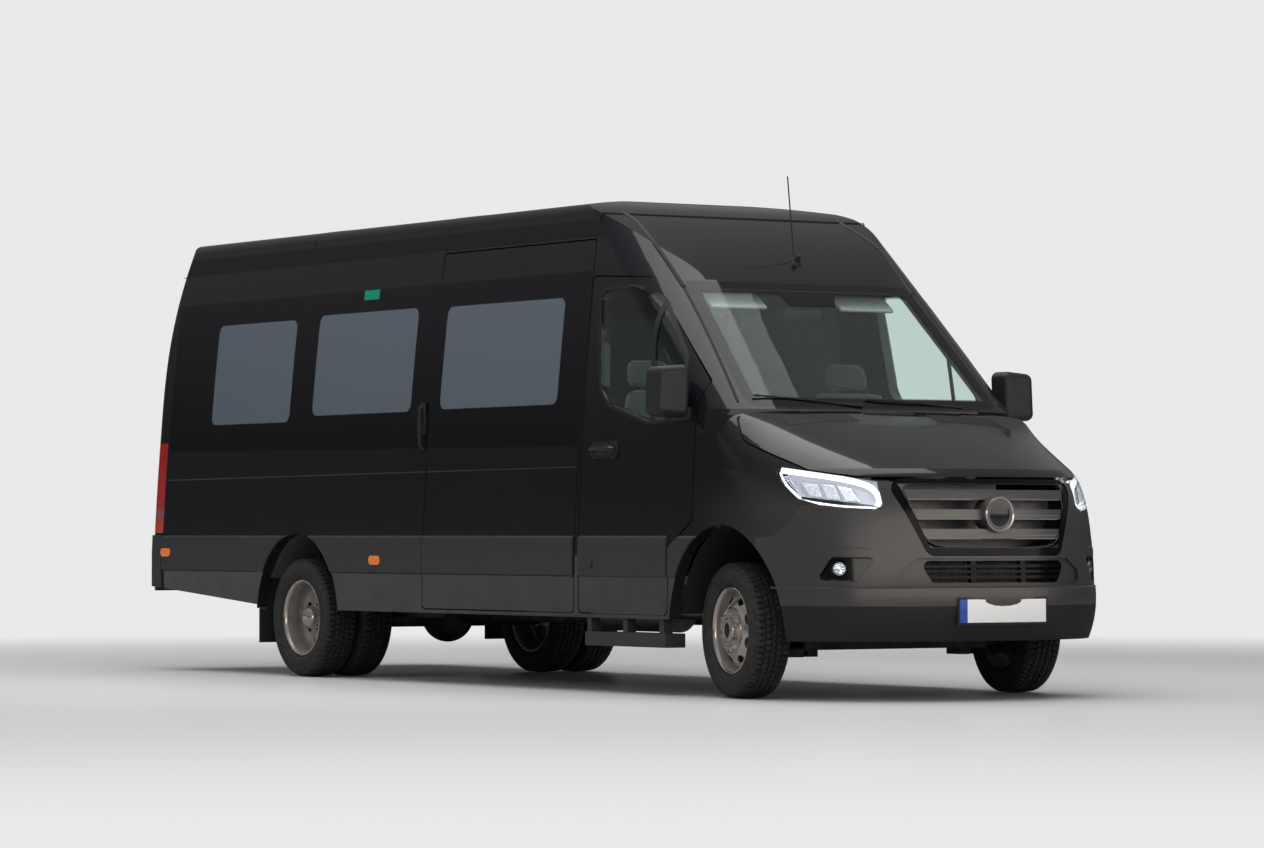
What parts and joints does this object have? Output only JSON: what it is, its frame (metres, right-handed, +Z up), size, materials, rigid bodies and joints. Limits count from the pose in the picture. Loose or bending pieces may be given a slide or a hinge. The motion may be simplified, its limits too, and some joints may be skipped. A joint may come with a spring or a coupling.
{
  "type": "minibus",
  "caption": "Long high-roof minibus with twin rear wheels, side windows, opening cab doors, rear doors and bonnet, and steered front wheels.",
  "frame": {"origin": "on the ground at the middle of the length and width", "axes": "+X forward along the length, +Y to the vehicle's left, +Z up"},
  "size_m": [7.2409, 2.3404, 2.675],
  "materials": {
    "amber_lens": "amber lens",
    "black_plastic": "grained black plastic",
    "body_paint": "gloss black paint",
    "cast_iron": "raw cast iron",
    "chassis_black": "matt black chassis paint",
    "clear_glass": "lightly green glass",
    "dark_glass": "dark privacy glass",
    "engine_metal": "cast aluminium",
    "exhaust_steel": "dull steel",
    "floor_cover": "dark floor covering",
    "gloss_black": "gloss black plastic",
    "grey_trim": "satin dark grey moulded plastic",
    "lamp_lens": "clear lamp lens",
    "red_lens": "red lens",
    "seat_fabric": "dark woven seat fabric",
    "tyre": "black tyre rubber",
    "wheel_steel": "polished silver steel wheel"
  },
  "bodies": {
    "body": {"chassis_frame": "chassis_black", "floor": "floor_cover", "roof": "body_paint", "roof_cap": "body_paint", "cab_frame": "body_paint", "side_left": "body_paint", "side_right": "body_paint", "sliding_door": "body_paint", "wings": "body_paint", "front_bumper": "body_paint", "grille": "gloss_black", "headlamps": "lamp_lens", "windscreen": "clear_glass", "side_glass": "dark_glass", "rear_axle": "chassis_black", "front_suspension": "chassis_black", "engine": "engine_metal", "driveline": "chassis_black", "fuel_tank": "chassis_black", "exhaust": "exhaust_steel", "passenger_seats": "seat_fabric", "cab_seats": "seat_fabric", "dashboard": "black_plastic", "rear_bumper": "grey_trim", "side_trim": "grey_trim", "side_markers": "amber_lens", "rear_lamps": "red_lens", "radiator": "engine_metal", "antenna": "black_plastic", "steering_wheel": "black_plastic", "wheel_liners": "black_plastic"},
    "bonnet": {"bonnet": "body_paint"},
    "door_right": {"door_right": "body_paint", "door_right_glass": "clear_glass", "door_right_trim": "grey_trim"},
    "rear_door_right": {"rear_door_right": "body_paint", "rear_door_right_glass": "dark_glass"},
    "knuckle_right": {"knuckle_right": "cast_iron"},
    "front_wheel_right": {"front_rim_right": "wheel_steel", "front_tyre_right": "tyre"},
    "rear_wheel_right": {"rear_rim_right": "wheel_steel", "rear_tyre_right": "tyre"},
    "door_left": {"door_left": "body_paint", "door_left_glass": "clear_glass", "door_left_trim": "grey_trim"},
    "rear_door_left": {"rear_door_left": "body_paint", "rear_door_left_glass": "dark_glass"},
    "knuckle_left": {"knuckle_left": "cast_iron"},
    "front_wheel_left": {"front_rim_left": "wheel_steel", "front_tyre_left": "tyre"},
    "rear_wheel_left": {"rear_rim_left": "wheel_steel", "rear_tyre_left": "tyre"}
  },
  "joints": [
    {"name": "bonnet_hinge", "type": "hinge", "parent": "body", "child": "bonnet", "pos_m": [2.627, 0, 1.43], "axis": [0, -1, 0], "range_deg": [0, 60]},
    {"name": "door_right_hinge", "type": "hinge", "parent": "body", "child": "door_right", "pos_m": [2.37, -1.003, 0.9], "axis": [0, 0, 1], "range_deg": [0, 70]},
    {"name": "rear_door_right_hinge", "type": "hinge", "parent": "body", "child": "rear_door_right", "pos_m": [-3.552, -0.8535, 1.4], "axis": [0.0449, 0, 0.999], "range_deg": [0, 180]},
    {"name": "steer_right", "type": "hinge", "parent": "body", "child": "knuckle_right", "pos_m": [2.615, -0.735, 0.335], "axis": [0, 0, 1], "range_deg": [-24, 42]},
    {"name": "front_wheel_right_spin", "type": "hinge", "parent": "knuckle_right", "child": "front_wheel_right", "pos_m": [2.60139, -0.82093, 0.335], "axis": [0.1564, 0.9877, 0], "continuous": true},
    {"name": "rear_wheel_right_spin", "type": "hinge", "parent": "body", "child": "rear_wheel_right", "pos_m": [-1.71, -0.7625, 0.335], "axis": [0, 1, 0], "continuous": true},
    {"name": "door_left_hinge", "type": "hinge", "parent": "body", "child": "door_left", "pos_m": [2.37, 1.003, 0.9], "axis": [0, 0, -1], "range_deg": [0, 70]},
    {"name": "rear_door_left_hinge", "type": "hinge", "parent": "body", "child": "rear_door_left", "pos_m": [-3.552, 0.8535, 1.4], "axis": [-0.0449, 0, -0.999], "range_deg": [0, 180]},
    {"name": "steer_left", "type": "hinge", "parent": "body", "child": "knuckle_left", "pos_m": [2.615, 0.735, 0.335], "axis": [0, 0, 1], "range_deg": [-24, 42]},
    {"name": "front_wheel_left_spin", "type": "hinge", "parent": "knuckle_left", "child": "front_wheel_left", "pos_m": [2.62861, 0.82093, 0.335], "axis": [0.1564, 0.9877, 0], "continuous": true},
    {"name": "rear_wheel_left_spin", "type": "hinge", "parent": "body", "child": "rear_wheel_left", "pos_m": [-1.71, 0.7625, 0.335], "axis": [0, 1, 0], "continuous": true}
  ],
  "couplings": [
    {"joint": "steer_right", "follows": "steer_left", "ratio": 1}
  ]
}
